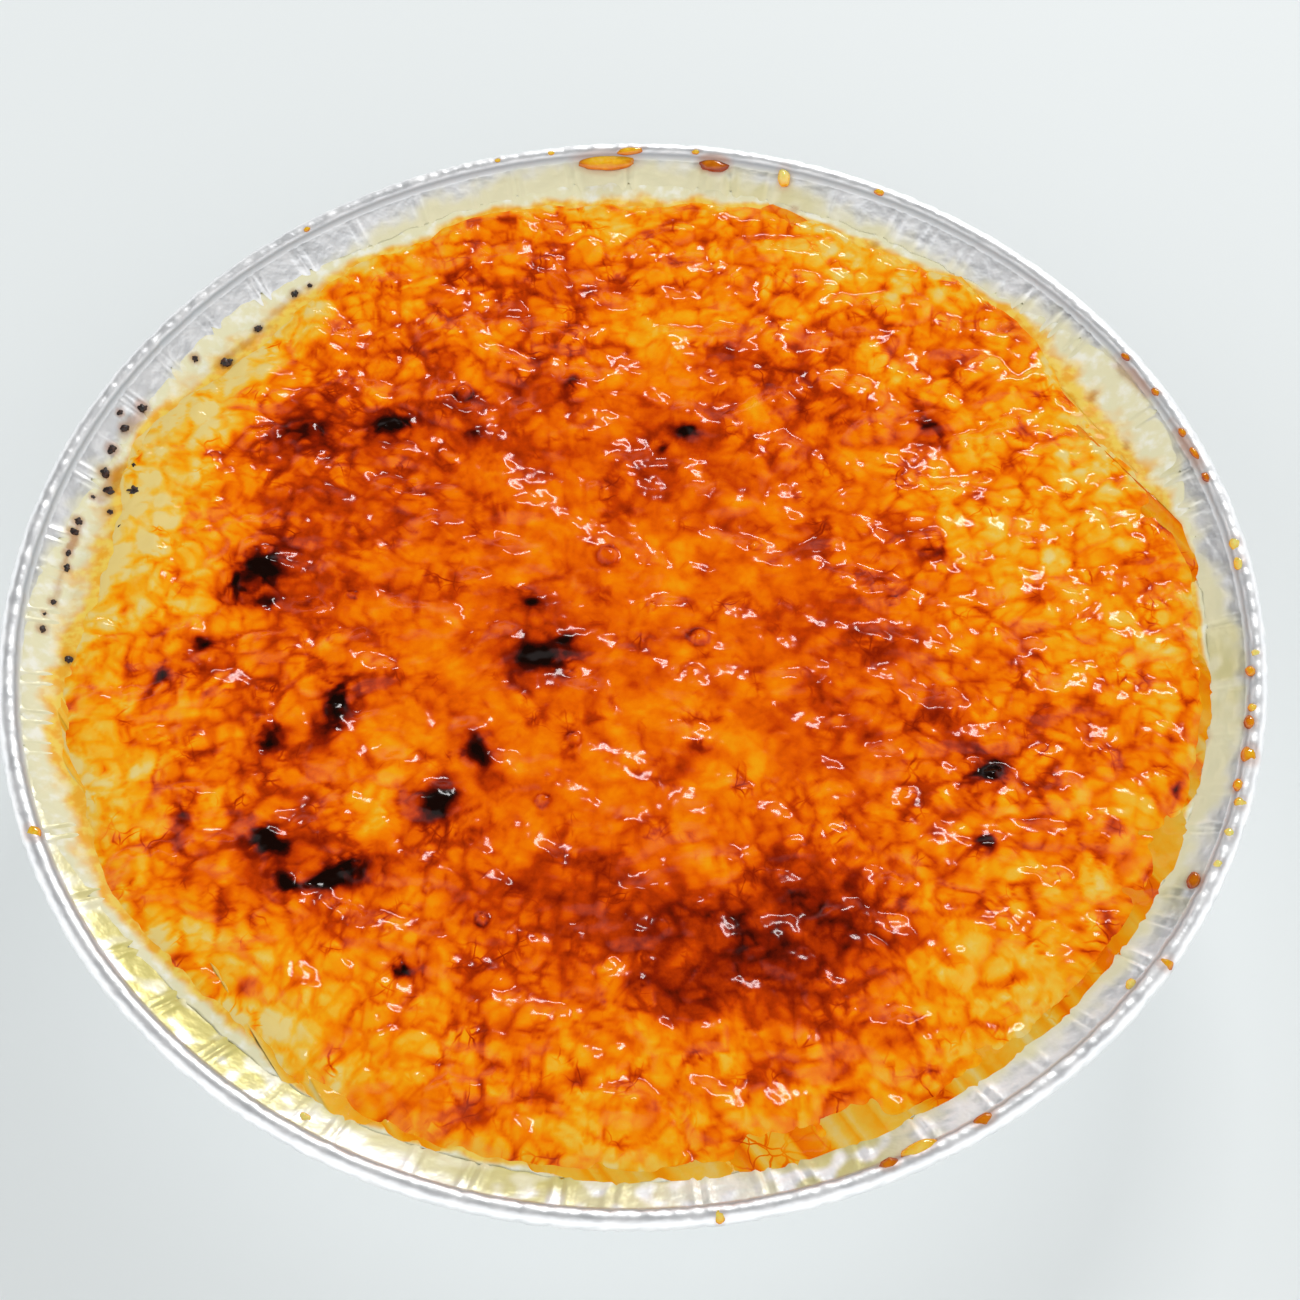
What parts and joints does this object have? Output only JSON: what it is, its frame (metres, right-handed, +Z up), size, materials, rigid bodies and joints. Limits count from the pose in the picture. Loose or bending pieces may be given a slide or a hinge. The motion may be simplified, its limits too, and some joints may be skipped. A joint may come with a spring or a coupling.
{
  "type": "creme brulee",
  "caption": "Creme brulee: baked custard under a lumpy burnt caramel crust, in its own round foil dish with a pleated shoulder and a rolled rim.",
  "frame": {"origin": "centre of the dish's flat base, on the surface it stands on", "axes": "+Z up out of the dish; -Y towards the viewer of the picture, +X to their right"},
  "size_m": [0.12, 0.12, 0.022],
  "materials": {
    "foil": "bright pressed foil, finely wrinkled",
    "custard": "smooth baked custard with a dull skin",
    "caramel": "glassy burnt sugar, from yellow through orange to nearly black"
  },
  "bodies": {
    "root": {"foil_dish": "foil", "custard": "custard", "caramel_crust": "caramel"}
  },
  "joints": []
}
